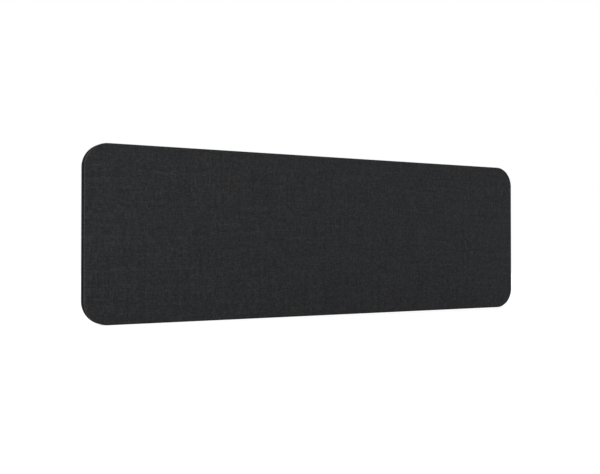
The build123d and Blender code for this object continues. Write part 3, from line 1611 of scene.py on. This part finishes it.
@dataclass
class ZipTeeth:
    """One row of coil teeth: bent wires whose heads reach between those of the other row.

    Attributes:
        edge: The screen's outline.
        side: The side that it is on.
        outer: Inset of the tops of the teeth.
        height: Their height.
        far: Distance of their roots from the middle of the thickness.
        head: How far their heads reach past the middle.
        pitch: Distance from tooth to tooth.
        leans: How far root, neck and shoulder stand along the row from the head, in pitches.
        neck: How far the neck lies below the wire's top run, in radii of the wire.
        shoulder: How far the shoulder lies in from the root's outside, in radii of the wire.
        tip: How far the tip of the head lies below that run, in radii of the wire.
        wire: Radius of the wire.
        wire_sides: Sides of the wire.
        head_swell: How much thicker the head is than the wire.
        start: Where the row starts, past the middle of the bottom.
        end: Where it ends, short of the middle of the bottom.
    """

    edge: Edge
    side: Side
    outer: float = 4.8 * MM
    height: float = 2.4 * MM
    far: float = 3.15 * MM
    head: float = 0.45 * MM
    pitch: float = 1.5 * MM
    leans: tuple[float, float, float] = (0.30, 0.16, 0.06)
    neck: float = 1.2
    shoulder: float = 2.2
    tip: float = 1.4
    wire: float = 0.36 * MM
    wire_sides: int = 6
    head_swell: float = 1.3
    start: float = 10.6 * MM
    end: float = 14.6 * MM

    def path(self) -> list[Vector]:
        """The middle line of one tooth.

        Returns:
            Its points, from its root on the tape to the tip of its head.
        """
        wire, far = self.wire, self.far - self.wire
        root, top = self.outer + self.height - wire, self.outer + wire
        at_root, at_neck, at_shoulder = (lean * self.pitch for lean in self.leans)
        points = [
            (at_root, far, root),
            (at_neck, far, top + self.neck * wire),
            (at_shoulder, self.far - self.shoulder * wire, top),
            (0.0, wire - self.head, top),
            (0.0, -self.head, top + self.tip * wire),
        ]
        return [Vector((along, self.side.value * out, inset)) for along, out, inset in points]

    def tooth(self) -> Shape:
        """One tooth: a wire that rises from its root, crosses the top and ends in a head.

        Returns:
            The shape.
        """
        made = bmesh.new()
        path = self.path()
        rings = []
        for i, spot in enumerate(path):
            way = path[min(i + 1, len(path) - 1)] - path[max(i - 1, 0)]
            turn = way.to_track_quat("Z", "X").to_matrix().to_4x4()
            radius = self.wire * (self.head_swell if i == len(path) - 2 else 1.0)
            ring = bmesh.ops.create_circle(
                made,
                segments=self.wire_sides,
                radius=radius,
                matrix=Matrix.Translation(spot) @ turn,
            )
            rings.append(once(edge for vert in ring["verts"] for edge in vert.link_edges))
        for pair in zip(rings, rings[1:]):
            bmesh.ops.bridge_loops(made, edges=[edge for ring in pair for edge in ring])
        fill_ends(made)
        return made

    def build(self) -> None:
        """Makes the row."""
        shift = 0.5 * self.pitch if self.side is Side.REAR else 0.0
        last = self.edge.girth - self.end
        made = self.edge.spread(self.tooth(), self.start + shift, last, self.pitch)
        piece = finish_mesh(made, f"{self.side.word}_coil_teeth", ZIP_TEETH)
        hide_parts(f"{self.side.word}_zip_teeth")


@dataclass
class ZipSlider:
    """The slider: a plate outside the teeth, a foot behind the tapes, and the bridge for the pull.

    Attributes:
        plate: Thickness of the plate and of the foot.
        plate_shares: Half the plate's outline from its nose, as shares of its half length and
            half width.
        bridge_top: Height of the bridge's top over the plate.
        bridge_width: Its width.
        bridge_wall: Its thickness.
        bridge_share: Its length, as a share of the slider's.
        bridge_bend: How far its corners are rounded, as a share of its thickness.
        bridge_root: How far its feet are let into the plate, as a share of the plate.
        flange_width: Width of the flanges along the plate.
        flange_share: Where they start and end, as a share of the plate's half width there.
        flange_depth: How far they reach towards the tapes.
        web: Thickness of the web between plate and foot.
        web_shares: Where the web starts and ends, as shares of half the length.
    """

    plate: float = 1.2 * MM
    plate_shares: tuple[Point, ...] = (
        (-0.84, 0.0),
        (-1.0, 0.4),
        (-0.95, 0.86),
        (-0.68, 1.0),
        (-0.1, 0.97),
        (0.5, 0.9),
        (0.88, 0.86),
        (1.0, 0.5),
        (1.0, 0.0),
    )
    bridge_top: float = 2.5 * MM
    bridge_width: float = 1.6 * MM
    bridge_wall: float = 0.9 * MM
    bridge_share: float = 0.83
    bridge_bend: float = 1.6
    bridge_root: float = 0.3
    flange_width: float = 1.5 * MM
    flange_share: float = 0.84
    flange_depth: float = 2.3 * MM
    web: float = 0.5 * MM
    web_shares: Point = (-0.8, -0.15)

    def build(self) -> None:
        """Makes the slider where the frame has it."""
        low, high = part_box("zip_slider")
        middle = (low.x + high.x) / 2
        half = (high.x - low.x) / 2
        line = rounded([(middle + x * half, y * high.y) for x, y in self.plate_shares], self.plate)
        top = low.z + self.bridge_top
        foot = high.z - self.plate
        up = Vector((0, 0, self.plate))
        solids = [prism([Vector((*spot, z)) for spot in mirrored(line)], up) for z in (top, foot)]
        solids += [self.flange(line, side, top + self.plate) for side in Side]
        solids.append(self.bridge(middle, half, low.z, top))
        solids.append(self.wall(middle, half, top, foot))
        metal_piece(solids, "slider_casting", "slider", "zip_slider")

    def flange(self, line: list[Point], side: Side, inner: float) -> Shape:
        """One flange along a long side of the plate.

        Args:
            line: Half the plate's outline.
            side: The side that it is on.
            inner: Height of the plate's inner face.

        Returns:
            The solid.
        """
        widest = max(y for _, y in line)
        run = [spot for spot in line if spot[1] > self.flange_share * widest]
        near = widest - self.flange_width
        run += [(run[-1][0], near), (run[0][0], near)]
        sunk = self.plate / 2
        points = [Vector((x, side.value * y, inner - sunk)) for x, y in run]
        return prism(points, Vector((0, 0, self.flange_depth + sunk)))

    def bridge(self, middle: float, half: float, top: float, foot: float) -> Shape:
        """The bridge that holds the pull.

        Args:
            middle: The slider's middle in X.
            half: Half its length.
            top: Height of the bridge's outer face.
            foot: Height of the plate's outer face.

        Returns:
            The solid.
        """
        seat = foot + self.bridge_root * self.plate
        arches = []
        for wall in (0.0, self.bridge_wall):
            end, crown = half * self.bridge_share - wall, top + wall
            corners = [(-end, seat), (-end, crown), (end, crown), (end, seat)]
            arches.append(rounded(corners, self.bridge_bend * self.bridge_wall))
        outside, inside = arches
        loop = outside + inside[::-1]
        spots = [Vector((middle + x, -self.bridge_width / 2, z)) for x, z in loop]
        return prism(spots, Vector((0, self.bridge_width, 0)))

    def wall(self, middle: float, half: float, low: float, high: float) -> Shape:
        """The web that parts the two rows of teeth at the nose.

        Args:
            middle: The slider's middle in X.
            half: Half its length.
            low: Height of the plate's outer face.
            high: Height of the foot's inner face.

        Returns:
            The solid.
        """
        start, end = (middle + share * half for share in self.web_shares)
        thick = self.web / 2
        line = [(start, 0.0), (start + self.web, thick), (end - self.web, thick), (end, 0.0)]
        spots = [Vector((*spot, low + self.plate / 2)) for spot in mirrored(line)]
        return prism(spots, Vector((0, 0, high - low)))


@dataclass
class SliderPull:
    """The pull: a bar through the slider's bridge, two arms, and a flared tab with a slot.

    Attributes:
        half_shares: Half its outline from the bar, as shares of its length and half width.
        corner: Radius of its corners.
        slot_shares: Start, end and half width of the slot in the tab, as the same shares.
        arm: Half the width inside the arms.
        window: Length of the window from the bar to the tab.
        window_corner: Radius of the window's corners, as a share of that of the pull's.
    """

    half_shares: tuple[Point, ...] = (
        (0.0, 0.0),
        (0.0, 0.8),
        (0.27, 0.8),
        (0.38, 0.56),
        (0.62, 0.88),
        (0.84, 1.0),
        (0.96, 0.86),
        (1.0, 0.4),
        (1.0, 0.0),
    )
    corner: float = 1.4 * MM
    slot_shares: tuple[float, float, float] = (0.74, 0.9, 0.34)
    arm: float = 1.4 * MM
    window: float = 5.1 * MM
    window_corner: float = 0.3

    def build(self) -> None:
        """Makes the pull where the frame has it."""
        low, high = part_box("slider_pull")
        length, half = high.x - low.x, high.y
        thick = high.z - low.z
        outline = rounded([(x * length, y * half) for x, y in self.half_shares], self.corner)
        start, end, width = self.slot_shares
        slot = self.opening(start * length, end * length, width * half, width * half)
        radius = self.window_corner * self.corner
        window = self.opening(thick, thick + self.window, self.arm, radius)
        spots = [Vector((low.x + x, y, low.z)) for x, y in outline + slot + window]
        made = prism(spots, Vector((0, 0, thick)))
        bmesh.ops.mirror(made, geom=whole(made), axis="Y", merge_dist=SAME_SPOT)
        inner = [f for f in made.faces if all(abs(v.co.y) < SAME_SPOT for v in f.verts)]
        bmesh.ops.delete(made, geom=inner, context="FACES")
        bmesh.ops.recalc_face_normals(made, faces=made.faces)
        metal_piece([made], "pull_tab", "pull", "slider_pull")

    def opening(self, start: float, end: float, half: float, corner: float) -> list[Point]:
        """Half the outline of an opening, from its far end back to its near one."""
        return rounded([(end, 0.0), (end, half), (start, half), (start, 0.0)], corner)


@dataclass
class AbsorberSlab:
    """A felt slab that fills one bay of the frame, with soft edges and uneven faces.

    Attributes:
        node: The frame's node that it stands for.
        soft_edge: Width of its soft edges.
        soft_steps: Segments of its soft edges.
        step: Size of the squares that its faces are cut into.
        unevenness: How far its faces sink in places.
        hollow_scale: Sunk places in a metre.
    """

    node: str
    soft_edge: float = 1.5 * MM
    soft_steps: int = 3
    step: float = 30 * MM
    unevenness: float = 0.5 * MM
    hollow_scale: float = 14.0

    def build(self) -> None:
        """Makes the slab."""
        low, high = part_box(self.node)
        size = high - low
        made = bmesh.new()
        place = Matrix.Translation((low + high) / 2) @ Matrix.Diagonal((*size, 1.0))
        bmesh.ops.create_cube(made, size=1.0, matrix=place)
        bmesh.ops.bevel(
            made,
            geom=made.edges[:],
            offset=self.soft_edge,
            segments=self.soft_steps,
            profile=0.5,
            affect="EDGES",
            material=-1,
        )
        cut_squares(made, low, high, self.step, lambda vert: True)
        middle = (low.y + high.y) / 2
        for vert in made.verts:
            if abs(abs(vert.co.y - middle) - size.y / 2) < SAME_LEVEL:
                sink = self.unevenness * swell(vert.co * self.hollow_scale)
                vert.co.y += (middle - vert.co.y) / (size.y / 2) * sink
        piece = finish_mesh(made, f"{self.node}_felt", ABSORBER)
        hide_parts(self.node)


@dataclass
class BuiltPieces:
    """The pieces that keep their built shape: the frame, boards, fixings and small zip metal."""

    def finish_of(self, name: str) -> Finish | None:
        """The finish of a node, by a word in its name."""
        return next((finish for word, finish in NODE_FINISHES.items() if word in name), None)

    def dress(self) -> None:
        """Gives each node its finish, and the metal its soft edges."""
        for name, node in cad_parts.items():
            finish = self.finish_of(name)
            if finish is None or node.hide_render:
                continue
            node.data.materials.clear()
            node.data.materials.append(finish.material())
            if finish is ZIP_METAL:
                soften(node)
            log.info("%s: built shape, finish %s", name, finish.name)


@dataclass(frozen=True)
class Lamp:
    """A square soft lamp that points at the middle of the object.

    Attributes:
        name: Its name.
        away: Its place, from the middle of the object.
        size: The length of its sides, in metres.
        power: Its power in watts.
    """

    name: str
    away: Spot
    size: float
    power: float

    def hang(self, middle: Vector) -> None:
        """Adds the lamp.

        Args:
            middle: The middle of the object.
        """
        data = bpy.data.lights.new(self.name, "AREA")
        data.shape = "SQUARE"
        data.size = self.size
        data.energy = self.power
        lamp = put(self.name, data)
        lamp.location = middle + Vector(self.away)
        lamp.rotation_euler = (-Vector(self.away)).to_track_quat("-Z", "Y").to_euler()


@dataclass
class Studio:
    """Plain floor, soft lamps and the camera.

    Attributes:
        focal_pixels: The camera's focal length, in pixels of the image.
        image_width: Width of the image in pixels.
        spot: The camera's place.
        heading: How far right of straight ahead it looks, in degrees.
        lift: How far above level it looks, in degrees.
        sensor: Width of its sensor, in millimetres.
        floor_size: Length of the floor's sides, in metres.
        floor_shade: Grey of the floor, as the object is lit by it.
        surround: Strength of the even light from all round.
        shadow_share: Share of the light on the floor that the camera sees.
        lamps: The lamps.
    """

    focal_pixels: float = 845.9
    image_width: float = 600.0
    spot: Spot = (-1.2748, -2.0554, 0.1906)
    heading: float = 30.042
    lift: float = 0.744
    sensor: float = 36.0
    floor_size: float = 40.0
    floor_shade: float = 0.8
    surround: float = 0.5
    shadow_share: float = 0.45
    lamps: tuple[Lamp, ...] = (
        Lamp("left_lamp", (-3.4, -0.9, 1.0), 2.2, 60.0),
        Lamp("front_lamp", (-0.8, -4.0, 1.8), 2.6, 30.0),
        Lamp("rear_lamp", (2.8, 2.6, 1.6), 2.4, 60.0),
    )

    def camera(self) -> None:
        """Adds the camera at the photograph's viewpoint."""
        data = bpy.data.cameras.new("camera")
        data.sensor_width = self.sensor
        data.lens = self.focal_pixels / self.image_width * self.sensor
        camera = put("camera", data)
        camera.location = self.spot
        camera.rotation_euler = (math.radians(90 + self.lift), 0, math.radians(-self.heading))
        bpy.context.scene.camera = camera

    def floor(self) -> None:
        """Adds the floor, which the camera sees as white with a faint shadow."""
        made = bmesh.new()
        bmesh.ops.create_grid(made, x_segments=1, y_segments=1, size=self.floor_size / 2)
        floor = put("floor", to_mesh(made, "floor"))
        material = bpy.data.materials.new("floor")
        graph = nodes_of(material)
        pale, faint = (
            graph.add("BsdfDiffuse", {"Color": (shade, shade, shade, 1.0)}).outputs[0]
            for shade in (self.floor_shade, self.shadow_share)
        )
        own = 1.0 - self.shadow_share * self.surround
        white = graph.add("Emission", {"Color": WHITE, "Strength": own}).outputs[0]
        seen = graph.add("AddShader", {0: faint, 1: white}).outputs[0]
        self.show(graph, pale, seen, "OutputMaterial")
        floor.data.materials.append(material)

    def world(self) -> None:
        """Adds an even surround that the camera sees as white."""
        world = bpy.data.worlds.new("world")
        bpy.context.scene.world = world
        graph = nodes_of(world)
        soft, white = (
            graph.add("Background", {"Color": WHITE, "Strength": strength}).outputs[0]
            for strength in (self.surround, 1.0)
        )
        self.show(graph, soft, white, "OutputWorld")

    def show(self, graph: Graph, other: Socket, seen: Socket, output: str) -> None:
        """Shows one shader to the camera, straight or by a mirror or glass, and lights by another.

        Args:
            graph: The tree.
            other: The shader for all other rays.
            seen: The shader that the camera sees.
            output: The type of the tree's output node.
        """
        path = graph.add("LightPath").outputs
        kinds = ("Is Camera Ray", "Is Glossy Ray", "Is Transmission Ray")
        by_camera = graph.chain("MAXIMUM", [path[kind] for kind in kinds])
        both = graph.add("MixShader", {0: by_camera, 1: other, 2: seen}).outputs[0]
        graph.add(output, {"Surface": both})

    def build(self, middle: Vector) -> None:
        """Adds everything round the object.

        Args:
            middle: The middle of the object.
        """
        self.camera()
        self.floor()
        self.world()
        for lamp in self.lamps:
            lamp.hang(middle)
        bpy.context.scene.view_settings.view_transform = "Standard"


@dataclass
class DeskScreen:
    """The whole screen, with its sizes read from the frame.

    Attributes:
        corner_radius: Radius of its corners.
    """

    corner_radius: float = 60 * MM

    def edge(self) -> Edge:
        """The outline of the screen."""
        low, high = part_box("front_cover")
        return Edge((high.x - low.x) / 2, high.z - low.z, self.corner_radius)

    def depths(self, node: str) -> dict[str, float]:
        """The distances of a node's back and face from the middle of the thickness."""
        low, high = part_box(node)
        return dict(zip(("back", "face"), sorted((abs(low.y), abs(high.y)))))

    def build(self) -> None:
        """Makes every new piece."""
        edge = self.edge()
        for side in Side:
            tape = ZipTape(edge, side)
            tape.build()
            ZipTeeth(edge, side).build()
            Wadding(edge, side, **self.depths(f"{side.word}_wadding")).build()
            Cover(edge, side, **self.depths(f"{side.word}_cover")).build(tape.stitches())
        for node in [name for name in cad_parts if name.startswith("absorber_slab")]:
            AbsorberSlab(node).build()
        ZipSlider().build()
        SliderPull().build()


def main() -> None:
    """Builds the studio and the screen."""
    logging.basicConfig(level=logging.INFO, format="%(name)s: %(message)s")
    low, high = CAD_BOX
    Studio().build((Vector(low) + Vector(high)) / 2)
    DeskScreen().build()
    BuiltPieces().dress()


if __name__ == "__main__":
    main()
